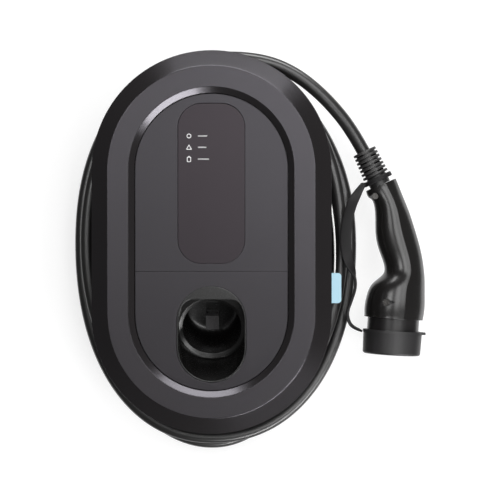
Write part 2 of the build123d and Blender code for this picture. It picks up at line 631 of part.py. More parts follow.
CONTACT_R = 4.2
PILOT_R = 3.2
CONTACTS = [(0, 0), (0, 16.5), (0, -16.5), (-14.5, 8.5), (-14.5, -8.5)]
PILOTS = [(13.0, 9.0), (13.0, -9.0)]
CONTACT_WALL = 1.1
CONTACT_FOOT = 3.0
nose = on_axis(nose_plane, Circle(NOSE_R), -NOSE_SEAT, NOSE_LEN)
nose = fillet(nose.edges().filter_by(GeomType.CIRCLE).sort_by(Axis.Z)[0], 1.5)
flat = Pos(NOSE_FLAT + NOSE_R, 0) * Rectangle(2 * NOSE_R, 4 * NOSE_R)
nose -= on_axis(nose_plane, flat, CAP_START + 4, NOSE_LEN)
contacts = []
for places, r in ((CONTACTS, CONTACT_R), (PILOTS, PILOT_R)):
    for u, v in places:
        nose -= on_axis(nose_plane, Pos(u, v) * Circle(r), CONTACT_FOOT, NOSE_LEN)
        pipe = Circle(r - CLOSE) - Circle(r - CLOSE - CONTACT_WALL)
        pipe = on_axis(nose_plane, Pos(u, v) * pipe, CONTACT_FOOT, NOSE_LEN - 4)
        foot = on_axis(nose_plane, Pos(u, v) * Circle(r - CLOSE), CONTACT_FOOT, 2 * CONTACT_FOOT)
        contacts.append(pipe + foot)
save("plug_nose", nose)
save("plug_contacts", Compound(children=contacts))

cap_end = NOSE_LEN + FIT + CAP_FLOOR
skirt = CAP_START + CAP_RIM
cap = on_axis(nose_plane, Circle(CAP_R), CAP_START, skirt)
cap += loft([nose_plane.offset(skirt) * Circle(CAP_R - 0.7), nose_plane.offset(cap_end) * Circle(CAP_R - 1.3)])
cap = fillet(cap.edges().filter_by(GeomType.CIRCLE).sort_by(Axis.Z)[0], 2.4)
tab = Pos(0, 0.2 - CAP_R) * Rectangle(TAB[0], TAB[1])
cap += on_axis(nose_plane, tab, CAP_START + 2 * CLOSE, CAP_START + 2 * CLOSE + TAB[2])
cap -= on_axis(nose_plane, Circle(NOSE_R + CAP_GAP), CAP_START, NOSE_LEN + FIT)
save("plug_cap", cap)

# Tether strap from the ring to the cap's rim
STRAP_W = 9.0
STRAP_T = 2.4
strap_points = [
    (HANG_X + 1.0, 60.5, PLUG_D + 8),
    (HANG_X - 8.5, 48.0, PLUG_D + 20),
    (HANG_X - 16.5, 27.0, PLUG_D + 25),
    (HANG_X - 20.4, 4.0, PLUG_D + 25.5),
    (HANG_X - 18.5, -18.0, PLUG_D + 25.5),
    (HANG_X - 11.5, -36.0, PLUG_D + 25),
    (HANG_X - 10.0, -49.0, PLUG_D + 24),
    (HANG_X - 14.5, -62.0, PLUG_D + 22),
    (HANG_X - 17.2, -73.0, PLUG_D + 18),
    (HANG_X - 14.5, -83.0, PLUG_D + 11),
    (HANG_X - 8.0, -88.8, PLUG_D + 4),
    (HANG_X - 2.5, -90.7, PLUG_D),
]
strap_way = point(*strap_points[1]) - point(*strap_points[0])
strap_start = Plane(origin=point(*strap_points[0]), x_dir=(0.8, -0.6, 0), z_dir=strap_way)
strap = sweep(strap_start * RectangleRounded(STRAP_W, STRAP_T, 0.8), arcs(strap_points, "cap_strap"))
save("cap_strap", strap)

# Hang tag and its string, which runs behind the tag and is tied round the strands under the cover's rim
STRING_R = 0.9
STRING_D = COIL_D1 - 4.5
TAG = (21.0, 30.8, 0.8)
TAG_ROUND = 3.5
TAG_AT = (R_DRUM + 19.5, -46.9)
string_points = [
    (R_DRUM + 7.7, NOTCH_H + 1, STRING_D),
    (R_DRUM + 17.0, 55.0, STRING_D),
    (R_DRUM + 22.6, 18.0, STRING_D),
    (R_DRUM + 24.0, -16.0, STRING_D),
    (R_DRUM + 22.0, -54.0, STRING_D),
    (R_DRUM + 13.2, -NOTCH_H - 1, STRING_D),
]
save("tag_string", tube("tag_string", string_points, STRING_R) - coil)
tag_d = STRING_D + STRING_R
save("hang_tag", slab(Pos(*TAG_AT) * RectangleRounded(TAG[0], TAG[1], TAG_ROUND), tag_d, tag_d + TAG[2]))

# Conductors from the outlet cable to the terminal block
WIRE_PITCH = 4.6
for k, name in enumerate(("line_wire", "neutral_wire", "earth_wire")):
    off = (k - 1) * WIRE_PITCH
    way = (2 - k) * WAY_PITCH
    depth = T_FLOOR + 13.0 + 7.0 * k
    route = [
        (GLAND_X + off, POCKET_Z1 + 10, GLAND_D),
        (GLAND_X + off, POCKET_Z1 + 32 + off, GLAND_D),
        (WIRE_X, POCKET_Z1 + 32 + off, depth),
        (WIRE_X, UPPER - 66.4, depth + 2),
        (way, LOWER + 46.4, T_FLOOR + 10.5),
        (way, BLOCK_Z + BLOCK[1] / 2 - 4.9, T_FLOOR + 10.5),
    ]
    save(name, tube(name, route, WIRE_R))
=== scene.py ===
# %% [markdown]
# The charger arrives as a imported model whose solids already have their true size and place. This lesson
# dresses it: it lays the cable and the strap, gives every solid a finish, and sets up a plain studio.
# Everything is in metres, +Z is up, the front faces -Y and the wall is the plane y = 0.

import bpy
import numpy as np
from mathutils import Matrix, Vector


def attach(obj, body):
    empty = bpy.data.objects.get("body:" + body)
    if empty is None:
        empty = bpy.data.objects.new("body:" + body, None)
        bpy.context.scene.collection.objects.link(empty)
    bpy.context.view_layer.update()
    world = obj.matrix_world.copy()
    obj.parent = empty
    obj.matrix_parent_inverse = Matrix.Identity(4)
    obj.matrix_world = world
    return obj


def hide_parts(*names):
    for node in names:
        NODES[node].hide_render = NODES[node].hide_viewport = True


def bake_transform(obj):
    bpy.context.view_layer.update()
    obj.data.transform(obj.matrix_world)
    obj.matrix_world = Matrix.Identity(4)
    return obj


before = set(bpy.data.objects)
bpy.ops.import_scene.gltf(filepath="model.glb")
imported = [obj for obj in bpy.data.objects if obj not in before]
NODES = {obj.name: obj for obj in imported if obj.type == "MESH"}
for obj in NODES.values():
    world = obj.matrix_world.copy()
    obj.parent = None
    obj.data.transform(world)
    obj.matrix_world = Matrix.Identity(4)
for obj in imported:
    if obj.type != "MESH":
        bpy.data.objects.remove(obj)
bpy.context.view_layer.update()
CHARGER = "charger"

# %% [markdown]
# The photograph is a front view from about two metres. A long lens keeps the sides of the body hidden,
# and its focal length follows from the width of the picture at the front face. Sizes are written in
# millimetres, as on a drawing, and turned into metres where they are used.

# %% Camera
MM = 0.001
FACE_D = 130.0
CAMERA_X = 38.7
CAMERA_Z = -8.0
CAMERA_FAR = 2100.0
CLIP_METRES = 50.0
PICTURE_W = 500.0
SENSOR_W = 36.0

camera_data = bpy.data.cameras.new("front_camera")
camera_data.sensor_width = SENSOR_W
camera_data.lens = SENSOR_W * CAMERA_FAR / PICTURE_W
camera_data.clip_end = CLIP_METRES
camera = bpy.data.objects.new("front_camera", camera_data)
camera.location = (CAMERA_X * MM, -(CAMERA_FAR + FACE_D) * MM, CAMERA_Z * MM)
camera.rotation_euler = (np.pi / 2, 0, 0)
bpy.context.scene.collection.objects.link(camera)
bpy.context.scene.camera = camera
bpy.context.scene.view_settings.view_transform = "Standard"
print("lens", round(camera_data.lens, 1), "mm")

# %% [markdown]
# New pieces are grids of points: a surface is a function of two parameters, worked out as one array, and
# a helper turns the array into a mesh. Edit mode would do as well, but a formula can be read and changed.
# A closed direction joins its last row to its first.

# %% Grid surfaces
def place(x, z, d):
    """A point of the model in metres, from millimetres across, up and out from the wall."""
    return np.stack(np.broadcast_arrays(x, -np.asarray(d, float), z), axis=-1) * MM


def link(obj, body):
    """Puts a new piece in the scene, riding on a body."""
    bpy.context.scene.collection.objects.link(obj)
    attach(obj, body)
    return obj


def grid_mesh(name, points, close_u=False, close_v=False, caps=False):
    """A mesh over points[u, v]: a quad for each cell, and an optional flat face on each end of u."""
    n, m = points.shape[:2]
    index = np.arange(n * m).reshape(n, m)
    u0 = index if close_u else index[:-1]
    u1 = np.roll(index, -1, axis=0) if close_u else index[1:]
    if close_v:
        a, b, c, e = u0, np.roll(u0, -1, axis=1), np.roll(u1, -1, axis=1), u1
    else:
        a, b, c, e = u0[:, :-1], u0[:, 1:], u1[:, 1:], u1[:, :-1]
    faces = np.stack([a, b, c, e], axis=-1).reshape(-1, 4).tolist()
    if caps:
        faces += [index[0, ::-1].tolist(), index[-1].tolist()]
    mesh = bpy.data.meshes.new(name)
    mesh.from_pydata(points.reshape(-1, 3).tolist(), [], faces)
    mesh.polygons.foreach_set("use_smooth", np.ones(len(mesh.polygons), dtype=bool))
    mesh.update()
    return mesh


print("middle of the front face", place(0.0, 0.0, FACE_D))

# %% [markdown]
# Whatever hangs or winds follows a NURBS spline of order 3: a few control points draw it, and it cuts
# their corners in smooth arcs. Blender gives such a curve a round section by itself. The bevel depth is 1
# and is scaled by the radius of each point, so that radius is the true radius of the cord.

# %% Splines
SPLINE_ORDER = 3
SPLINE_STEPS = 8
BEVEL_STEPS = 6


def spline_curve(name, points, radius=0.0):
    """One open NURBS spline with these control points, round if it has a radius and bare if not."""
    data = bpy.data.curves.new(name, "CURVE")
    data.dimensions = "3D"
    spline = data.splines.new("NURBS")
    spline.points.add(len(points) - 1)
    weighted = np.concatenate([points, np.ones((len(points), 1))], axis=1)
    spline.points.foreach_set("co", weighted.ravel())
    spline.points.foreach_set("radius", np.full(len(points), radius))
    spline.order_u = SPLINE_ORDER
    spline.use_endpoint_u = True
    spline.resolution_u = SPLINE_STEPS
    data.bevel_depth = 1.0 if radius > 0 else 0.0
    data.bevel_resolution = BEVEL_STEPS
    data.use_fill_caps = radius > 0
    return bpy.data.objects.new(name, data)


def spline_points(points):
    """Points along the NURBS spline with these control points, read back from Blender."""
    guide = spline_curve("guide", points)
    bpy.context.scene.collection.objects.link(guide)
    bpy.context.view_layer.update()
    mesh = bpy.data.meshes.new_from_object(guide)
    out = np.empty(len(mesh.vertices) * 3)
    mesh.vertices.foreach_get("co", out)
    bpy.data.objects.remove(guide)
    bpy.data.meshes.remove(mesh)
    return out.reshape(-1, 3)


def run_length(points):
    """Length of a run of points: the distances from each to the next, added up."""
    return float(np.linalg.norm(np.diff(points, axis=0), axis=1).sum())


print("splines of order", SPLINE_ORDER)

# %% [markdown]
# The charging cable is five metres of a stiff 14 mm sheath. It leaves the gland in the side of the drum,
# goes round the drum clockwise and hangs a little below it. A plain helix would look like a spring, so
# each turn is a ring of quarter ellipses whose reach to the right, bottom, left and top differs. Where an
# ellipse would cut the drum, the drum wins.

# %% Sizes of the winding
# The drum is two half circles whose middles are SPAN apart. Each turn lies TURN_PITCH further out from
# the wall than the one before.
CABLE_R = 7.0
SPAN = 144.8
DRUM_R = 102.0
DRUM_GAP = 0.5
TURN_R = DRUM_R + CABLE_R + DRUM_GAP
FIRST_D = 11.6
TURN_PITCH = 14.2
FIRST_QUARTER = 0.75
QUARTER_STEPS = 6

# Reach of each quarter turn from the middle of the drum: right, bottom, left, top
WINDING = np.array([
    (110.5, 184.0, 111.0, 182.4),
    (123.0, 187.0, 116.0, 182.4),
    (115.0, 206.9, 126.0, 182.6),
    (141.8, 200.8, 134.8, 182.8),
    (132.5, 187.5, 128.5, 187.0),
]).ravel()

# Power of the cosine and sine in each turn: 1 gives an ellipse, less a fuller curve
FULLNESS = np.array([1.0, 1.0, 0.98, 0.915, 0.965])

# The spline runs inside its control points, so they lie this much further out
CORNER_CUT = 1.0085
print("quarter turns", len(WINDING) - 1, "round a drum of", 2 * DRUM_R, "mm")

# %% [markdown]
# In a quarter turn the cable goes from one reach to the next: the first times a cosine across, the next
# times a sine onward. The drum is a stadium, two half circles with straight sides between them, and no
# point comes nearer to the middle than its wall and half the cable.

# %% Winding
def stadium_reach(angle, r):
    """Distance from the middle to an upright stadium of end radius r: its side, or past it its end."""
    c = np.abs(np.cos(angle))
    s = np.abs(np.sin(angle))
    half = SPAN / 2
    side = r / np.maximum(c, np.finfo(float).eps)
    end = half * s + np.sqrt(np.maximum(r * r - (half * c) ** 2, 0))
    return np.where(side * s <= half, side, end)


def winding(first, last):
    """Turns from quarter first to last, clockwise from the right: quarter ellipses kept off the drum."""
    quarter = np.arange(first * QUARTER_STEPS, last * QUARTER_STEPS) / QUARTER_STEPS
    here = np.floor(quarter).astype(int)
    part = (quarter - here) * np.pi / 2
    full = FULLNESS[here // 4]
    across = WINDING[here] * np.cos(part) ** full
    onward = WINDING[here + 1] * np.sin(part) ** full
    heading = here % 4
    x = np.choose(heading, [across, -onward, -across, onward])
    z = np.choose(heading, [-onward, -across, onward, across])
    angle = np.arctan2(z, x)
    reach = np.maximum(np.hypot(x, z), stadium_reach(angle, TURN_R)) * CORNER_CUT
    return place(reach * np.cos(angle), reach * np.sin(angle), FIRST_D + TURN_PITCH * quarter / 4)


turns = winding(FIRST_QUARTER, len(WINDING) - 1)
print("control points of the turns", len(turns))

# %% [markdown]
# At its two ends the cable leaves the turns: it starts in the gland inside the drum, and from the top of
# the last turn it falls to the right, straight into the boot of the plug.

# %% Ends of the cable
GLAND_X = 83.5
GLAND_D = 18.5
lead_points = [
    (GLAND_X, 62.0, GLAND_D),
    (GLAND_X, 30.0, GLAND_D),
    (90.0, -18.0, 16.0),
    (107.5, -68.0, 12.0),
]

PLUG_D = 58.0
BOOT_TOP = np.array([156.8, 94.2])
BOOT_LEAN = np.radians(25.5)
BOOT_STRAIGHT = (-16.0, 34.0)
boot_way = np.array([np.sin(BOOT_LEAN), -np.cos(BOOT_LEAN)])
tail_points = [
    (36.0, 189.5, 77.5),
    (77.6, 178.8, 74.0),
    (116.0, 150.0, 68.0),
]
for reach in BOOT_STRAIGHT:
    tail_points.append((*(BOOT_TOP + boot_way * reach), PLUG_D))

route = np.concatenate([place(*np.array(lead_points).T), turns, place(*np.array(tail_points).T)])
cable = link(spline_curve("charging_cable", route, CABLE_R * MM), CHARGER)
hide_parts("cable_lead_in", "cable_coil", "cable_tail")
CABLE_LENGTH = run_length(spline_points(route))
print("cable control points", len(route), "length", round(CABLE_LENGTH, 3), "m")

# %% [markdown]
# The tether strap is a flat rubber band moulded to the ring above the grip and to the rim of the cap. It
# faces the front where it passes over the cable and turns on edge on its way down. A bevelled curve has
# the same section all along, so the strap is a mesh: a section carried along a spline, whose width
# changes and turns about the path.

# %% Path of the strap
STRAP_W = 11.6
STRAP_T = 2.4
strap_points = [
    (156.0, 60.5, 66.0),
    (146.5, 48.0, 78.0),
    (138.8, 27.0, 83.0),
    (135.4, 4.0, 83.5),
    (138.4, -18.0, 83.5),
    (145.6, -33.0, 83.0),
    (147.2, -46.0, 82.0),
    (142.2, -61.0, 80.0),
    (138.0, -72.5, 76.0),
    (140.8, -83.2, 69.0),
    (147.2, -88.8, 62.0),
    (152.5, -90.7, 58.0),
]

# How far below the origin, and there the turn in degrees or the width in mm
STRAP_TURNS = [(-60, -40), (-45, -16), (9, 0), (23, 24), (36, 80), (90, 76)]
STRAP_WIDTHS = [(-60, 7), (-48, 10.5), (0, STRAP_W), (40, 9.5), (90, 8.5)]

strap_path = spline_points(place(*np.array(strap_points).T))

# %% [markdown]
# The section of the strap is an ellipse squared by a power, so that its faces are flat and its edges
# round. Its side is worked out at each point of the path and made square with it.

# %% Strap
# Points round the section, and the power of its cosine and sine: less than 1 squares an ellipse
SECTION_POINTS = 20
SECTION_POWER = 0.45


def ribbon(path, width, thick, turn):
    """A rounded flat section carried along path, as point + side * c * width / 2 + up * s * thick / 2.

    The side lies across at turn 0 and in depth at turn 90, less its part along the path.
    """
    way = np.gradient(path, axis=0)
    way /= np.linalg.norm(way, axis=1, keepdims=True)
    side = np.stack([np.cos(turn), np.sin(turn), np.zeros_like(turn)], axis=1)
    side -= way * (side * way).sum(axis=1, keepdims=True)
    side /= np.linalg.norm(side, axis=1, keepdims=True)
    up = np.cross(way, side)
    angle = np.linspace(0, 2 * np.pi, SECTION_POINTS, endpoint=False)
    c = np.sign(np.cos(angle)) * np.abs(np.cos(angle)) ** SECTION_POWER
    s = np.sign(np.sin(angle)) * np.abs(np.sin(angle)) ** SECTION_POWER
    across = side[:, None] * c[None, :, None] * width[:, None, None] / 2
    return path[:, None] + across + up[:, None] * s[None, :, None] * thick / 2


strap_fall = -strap_path[:, 2] / MM
strap_turn = np.radians(np.interp(strap_fall, *np.array(STRAP_TURNS).T))
strap_width = np.interp(strap_fall, *np.array(STRAP_WIDTHS).T) * MM
strap_skin = ribbon(strap_path, strap_width, STRAP_T * MM, strap_turn)
strap_mesh = grid_mesh("tether_strap", strap_skin, close_v=True, caps=True)
strap = bpy.data.objects.new("tether_strap", strap_mesh)
bpy.context.scene.collection.objects.link(strap)
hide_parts("cap_strap")
print("strap faces", len(strap_mesh.polygons))

# %% [markdown]
# A small card tag hangs on a thread that is tied round the strands under the rim of the cover. A curve
# with a round section is enough for it: its twist is finer than a pixel and comes from the finish.

# %% Thread of the tag
THREAD_R = 0.9
THREAD_D = 82.2
thread_points = [
    (109.7, 89.0, THREAD_D),
    (119.0, 55.0, THREAD_D),
    (124.6, 18.0, THREAD_D),
    (126.0, -16.0, THREAD_D),
    (124.0, -54.0, THREAD_D),
    (115.2, -89.0, THREAD_D),
]
thread_route = place(*np.array(thread_points).T)
thread = link(spline_curve("tag_thread", thread_route, THREAD_R * MM), CHARGER)
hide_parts("tag_string")
THREAD_LENGTH = run_length(spline_points(thread_route))
print("thread length", round(THREAD_LENGTH, 4), "m")

# %% [markdown]
# Every finish starts from the same idea: one base colour, a slow cloud that shifts it a little, a fine
# grain that stands as bump, and a roughness that follows the grain. The numbers make it a cover or a
# cable. The plastics are nearly black: the grey that the eye sees on their flat faces is the sheen of a
# soft lamp.

# %% Finishes
CLOUD_SCALE = 14.0
CLOUD_DETAIL = 4.0
GRAIN_DETAIL = 3.0
BUMP_METRES = 0.0001
ROUGH_SPREAD = 0.05
LEAST_ROUGH = 0.02
EVEN = (1, 1, 1)


def noise(tree, vector, scale, detail):
    """A noise of this scale, read at a position."""
    node = tree.nodes.new("ShaderNodeTexNoise")
    node.inputs["Scale"].default_value = scale
    node.inputs["Detail"].default_value = detail
    tree.links.new(vector, node.inputs["Vector"])
    return node.outputs["Fac"]


def finish(name, colour, rough, grain=900.0, bump=0.12, drift=0.15, metal=0.0, gloss=0.62,
           stretch=EVEN, sheen=EVEN):
    """Principled finish: colour drifts with a slow noise, bump and roughness follow a fine one."""
    mat = bpy.data.materials.new(name)
    mat.use_nodes = True
    tree = mat.node_tree
    nodes = tree.nodes
    links = tree.links
    shader = nodes["Principled BSDF"]
    shader.inputs["Metallic"].default_value = metal
    shader.inputs["Specular IOR Level"].default_value = gloss
    shader.inputs["Specular Tint"].default_value = (*sheen, 1)
    where = nodes.new("ShaderNodeTexCoord")
    drawn = nodes.new("ShaderNodeMapping")
    drawn.inputs["Scale"].default_value = stretch
    links.new(where.outputs["Object"], drawn.inputs["Vector"])
    slow = noise(tree, where.outputs["Object"], CLOUD_SCALE, CLOUD_DETAIL)
    fine = noise(tree, drawn.outputs["Vector"], grain, GRAIN_DETAIL)
    tint = nodes.new("ShaderNodeMix")
    tint.data_type = "RGBA"
    tint.inputs["A"].default_value = (*[c * (1 - drift) for c in colour], 1)
    tint.inputs["B"].default_value = (*[min(1.0, c * (1 + drift)) for c in colour], 1)
    links.new(slow, tint.inputs["Factor"])
    links.new(tint.outputs["Result"], shader.inputs["Base Color"])
    worn = nodes.new("ShaderNodeMapRange")
    worn.name = "worn"
    worn.inputs["To Min"].default_value = max(LEAST_ROUGH, rough - ROUGH_SPREAD)
    worn.inputs["To Max"].default_value = min(1.0, rough + ROUGH_SPREAD)
    links.new(fine, worn.inputs["Value"])
    links.new(worn.outputs["Result"], shader.inputs["Roughness"])
    relief = nodes.new("ShaderNodeBump")
    relief.name = "relief"
    relief.inputs["Strength"].default_value = bump
    relief.inputs["Distance"].default_value = BUMP_METRES
    links.new(fine, relief.inputs["Height"])
    links.new(relief.outputs["Normal"], shader.inputs["Normal"])
    return mat


print("grain moves the roughness by", ROUGH_SPREAD, "each way")

# %% [markdown]
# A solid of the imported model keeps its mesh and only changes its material. New pieces are dressed in the
# same way, so one helper serves both.

# %% Wearing a finish
def wear(mat, *pieces):
    """Puts one finish on CAD nodes, given by name, and on new pieces."""
    objects = [NODES[piece] if isinstance(piece, str) else piece for piece in pieces]
    for obj in objects:
        obj.data.materials.clear()
        obj.data.materials.append(mat)
    print(mat.name, "on", ", ".join(obj.name for obj in objects))


# %% [markdown]
# The cover is spark-eroded on its flat ring and left smooth on its two slopes, so its grain depends on
# where a point lies across the oval. The distance from the oval's spine tells them apart: inside the ring
# lies the step down to the panels, outside it the bezel. Two materials on one mesh would need its faces
# sorted, and here a few Math nodes do it by place.

# %% Cover with smooth slopes
# Distances from the spine in mm, and the span over which the grain fades at the edges of the ring
RING_INNER = 83.2
RING_OUTER = 104.2
RING_MIDDLE = (RING_INNER + RING_OUTER) / 2
RING_HALF = (RING_OUTER - RING_INNER) / 2
FADE_FROM = RING_HALF - 0.9
FADE_TO = RING_HALF + 0.3
SLOPE_ROUGH = 0.21
SLOPE_BUMP = 0.03


def maths(tree, operation, *values):
    """A Math node: each value is a number for its socket, or an output that is linked to it."""
    node = tree.nodes.new("ShaderNodeMath")
    node.operation = operation
    for socket, value in zip(node.inputs, values):
        if isinstance(value, (int, float)):
            socket.default_value = value
        else:
            tree.links.new(value, socket)
    return node.outputs[0]


def smooth_slopes(mat):
    """Off the ring the roughness goes to SLOPE_ROUGH and the grain fades.

    The mask is how far a point's distance from the spine, hypot(x, max(|z| - SPAN / 2, 0)), is off the
    middle of the ring.
    """
    tree = mat.node_tree
    nodes = tree.nodes
    links = tree.links
    where = nodes.new("ShaderNodeTexCoord")
    parts = nodes.new("ShaderNodeSeparateXYZ")
    links.new(where.outputs["Object"], parts.inputs[0])
    height = maths(tree, "ABSOLUTE", parts.outputs["Z"])
    past_spine = maths(tree, "MAXIMUM", maths(tree, "SUBTRACT", height, SPAN / 2 * MM), 0.0)
    flat = nodes.new("ShaderNodeCombineXYZ")
    links.new(parts.outputs["X"], flat.inputs[0])
    links.new(past_spine, flat.inputs[1])
    reach = nodes.new("ShaderNodeVectorMath")
    reach.operation = "LENGTH"
    links.new(flat.outputs[0], reach.inputs[0])
    off_middle = maths(tree, "SUBTRACT", reach.outputs["Value"], RING_MIDDLE * MM)
    mask = nodes.new("ShaderNodeMapRange")
    mask.inputs["From Min"].default_value = FADE_FROM * MM
    mask.inputs["From Max"].default_value = FADE_TO * MM
    links.new(maths(tree, "ABSOLUTE", off_middle), mask.inputs["Value"])
    rough = nodes.new("ShaderNodeMix")
    rough.inputs["B"].default_value = SLOPE_ROUGH
    links.new(mask.outputs["Result"], rough.inputs["Factor"])
    links.new(nodes["worn"].outputs["Result"], rough.inputs["A"])
    links.new(rough.outputs["Result"], nodes["Principled BSDF"].inputs["Roughness"])
    strength = nodes["relief"].inputs["Strength"]
    stand = nodes.new("ShaderNodeMix")
    stand.inputs["A"].default_value = strength.default_value
    stand.inputs["B"].default_value = SLOPE_BUMP
    links.new(mask.outputs["Result"], stand.inputs["Factor"])
    links.new(stand.outputs["Result"], strength)


print("grained ring from", RING_INNER, "to", RING_OUTER, "mm off the spine")

# %% [markdown]
# A mould leaves no edge quite sharp, and on black plastic the thin light line along a rounded edge is
# what shows the form. The Bevel node rounds the shading normal within a small radius of an edge, which is
# enough for a line less than a millimetre wide.

# %% Rounded edges
EDGE_SAMPLES = 6


def soft_edges(mat, radius):
    """The grain's bump starts from a normal that is rounded over radius millimetres."""
    nodes = mat.node_tree.nodes
    edge = nodes.new("ShaderNodeBevel")
    edge.samples = EDGE_SAMPLES
    edge.inputs["Radius"].default_value = radius * MM
    mat.node_tree.links.new(edge.outputs["Normal"], nodes["relief"].inputs["Normal"])


print("edges rounded with", EDGE_SAMPLES, "samples")

# %% [markdown]
# The post in the dock that holds the plug is painted a paler grey. This is painted light: it stands in
# for the light that reaches the post through the mouth while the dock lies in shade. The post belongs to
# the dock's solid, so the painted light is told by place: a box in the tilted frame of the socket.

# %% Painted light on the post of the dock
# The socket's place in metres and its tilt in degrees, then the post's middle and half sizes in mm
SOCKET_AT = (0.0, -0.103, -0.0873)
SOCKET_TILT = 25.0
POST_AT = (0.0, 40.2, -11.0)
POST_HALF = (6.8, 6.6, 7.9)


def paint_post_light(mat, colour):
    """Painted light: base colour becomes colour in the post's box, in the socket's tilted frame."""
    tree = mat.node_tree
    nodes = tree.nodes
    links = tree.links
    where = nodes.new("ShaderNodeTexCoord")
    local = nodes.new("ShaderNodeMapping")
    local.vector_type = "TEXTURE"
    local.inputs["Location"].default_value = SOCKET_AT
    local.inputs["Rotation"].default_value = (np.radians(SOCKET_TILT), 0, 0)
    links.new(where.outputs["Object"], local.inputs["Vector"])
    parts = nodes.new("ShaderNodeSeparateXYZ")
    links.new(local.outputs["Vector"], parts.inputs[0])
    near_x, near_y, near_z = [
        maths(tree, "COMPARE", parts.outputs[axis], middle * MM, half * MM)
        for axis, middle, half in zip("XYZ", POST_AT, POST_HALF)
    ]
    inside = maths(tree, "MULTIPLY", maths(tree, "MULTIPLY", near_x, near_y), near_z)
    shader = nodes["Principled BSDF"]
    base = shader.inputs["Base Color"].links[0].from_socket
    pick = nodes.new("ShaderNodeMix")
    pick.data_type = "RGBA"
    pick.inputs["B"].default_value = (*colour, 1)
    links.new(inside, pick.inputs["Factor"])
    links.new(base, pick.inputs["A"])
    links.new(pick.outputs["Result"], shader.inputs["Base Color"])


print("post of", [2 * half for half in POST_HALF], "mm")

# %% [markdown]
# The body is moulded in black plastics of one family. No real black is quite neutral, so the sheen of the
# grained faces is tinted a little towards violet, and that of the smoked window towards rose.

# %% Cover, panels, window and housing
VIOLET = (0.94, 0.9, 1.0)
ROSE = (1.0, 0.87, 0.97)
COVER_EDGE = 1.0
PANEL_EDGE = 0.6

cover_finish = finish("cover_grain", (0.0112, 0.01, 0.0102), 0.32, grain=1300, bump=0.3, gloss=0.59,
                      sheen=VIOLET)
smooth_slopes(cover_finish)
soft_edges(cover_finish, COVER_EDGE)
wear(cover_finish, "front_cover")

panel_finish = finish("panel_grain", (0.01, 0.009, 0.0092), 0.32, grain=1100, bump=0.3, gloss=0.52,
                      sheen=VIOLET)
soft_edges(panel_finish, PANEL_EDGE)
wear(panel_finish, "upper_panel", "lower_panel")

housing_finish = finish("housing_grain", (0.012, 0.0118, 0.0122), 0.5, grain=900, bump=0.3)
wear(housing_finish, "rear_housing", "outlet_gland_body", "outlet_gland_nut", "outlet_lock_nut")

window_finish = finish("window_smoke", (0.0084, 0.0072, 0.0082), 0.32, grain=500, bump=0.03, drift=0.05,
                       gloss=0.4, sheen=ROSE)
wear(window_finish, "display_window")

# %% [markdown]
# The dock and the plug are smooth and deep black. The dock is darker still than the other blacks, which
# paints the shade inside it. The nose and the cap keep fine drawn lines from their moulds: their grain is
# stretched along one axis.

# %% Dock, plug and cap
SMOOTH_EDGE = 0.8
POST_PAINTED_LIGHT = (0.052, 0.05, 0.052)
NOSE_LINES = (1, 1, 0.06)
CAP_LINES = (1, 1, 0.05)

# The dock's colour is part black plastic and part painted shade: darker than the plug, for its recess.
black_and_shaded_dock = finish("dock_black_and_painted_shade", (0.003, 0.0028, 0.0027), 0.26, grain=1200, bump=0.06)
# The post's paler grey is painted light, standing in for light that reaches it through the mouth.
paint_post_light(black_and_shaded_dock, POST_PAINTED_LIGHT)
soft_edges(black_and_shaded_dock, SMOOTH_EDGE)
wear(black_and_shaded_dock, "dock_socket")

plug_finish = finish("plug_black", (0.008, 0.0074, 0.0072), 0.24, grain=1500, bump=0.06)
soft_edges(plug_finish, SMOOTH_EDGE)
wear(plug_finish, "plug_shell_front", "plug_shell_rear")

nose_finish = finish("nose_moulding", (0.01, 0.009, 0.0094), 0.31, grain=500, bump=0.15,
                     stretch=NOSE_LINES)
wear(nose_finish, "plug_nose")

cap_finish = finish("cap_rubber", (0.016, 0.0153, 0.016), 0.44, grain=420, bump=0.4, gloss=0.54,
                    stretch=CAP_LINES)
wear(cap_finish, "plug_cap")

# %% [markdown]
# Rubber is duller than plastic and its grain is coarser. The sheath of the cable shines most of the soft
# pieces, and the strap least.

# %% Rubber, cable and strap
rubber_finish = finish("black_rubber", (0.018, 0.017, 0.0172), 0.45, grain=700, bump=0.3)
wear(rubber_finish, "cover_gasket", "supply_grommet", "cable_boot")

cable_finish = finish("cable_sheath", (0.011, 0.0105, 0.0105), 0.33, grain=600, bump=0.2, gloss=0.8)
wear(cable_finish, cable)

strap_finish = finish("strap_rubber", (0.008, 0.0075, 0.008), 0.55, grain=900, bump=0.25, gloss=0.24)
wear(strap_finish, "strap_ring", strap)

# %% [markdown]
# Metals have no colour of their own but that of their reflection, so they are fully metallic. The screws
# in the plug are blackened, those of the body plated, and the contacts have a warm plating.

# %% Screws and contacts
steel_finish = finish("plated_steel", (0.55, 0.55, 0.57), 0.3, grain=800, bump=0.1, metal=1.0)
wear(steel_finish, "cover_screws", "board_screws")

dark_steel_finish = finish("blackened_steel", (0.05, 0.048, 0.046), 0.26, grain=800, bump=0.15,
                           metal=1.0)
wear(dark_steel_finish, "plug_screws")

brass_finish = finish("plated_contact", (0.72, 0.6, 0.36), 0.28, grain=800, bump=0.08, metal=1.0)
wear(brass_finish, "plug_contacts")

# %% [markdown]
# The pieces inside show only when the model is taken apart. They have the usual colours of their kind:
# green boards, grey devices, dark resin, clear light guides, and wires in brown, blue and green.

# %% Inside
board_finish = finish("solder_mask", (0.02, 0.13, 0.05), 0.4, grain=300, bump=0.2)
wear(board_finish, "main_board", "indicator_board")

device_finish = finish("device_moulding", (0.28, 0.29, 0.3), 0.5, grain=900, bump=0.2)
wear(device_finish, "contactor", "terminal_block")

coil_finish = finish("core_resin", (0.04, 0.04, 0.042), 0.45, grain=400, bump=0.3)
wear(coil_finish, "leakage_sensor", "power_module")

clear_finish = finish("light_guide", (0.8, 0.83, 0.85), 0.15, grain=300, bump=0.05)
wear(clear_finish, "light_guides")

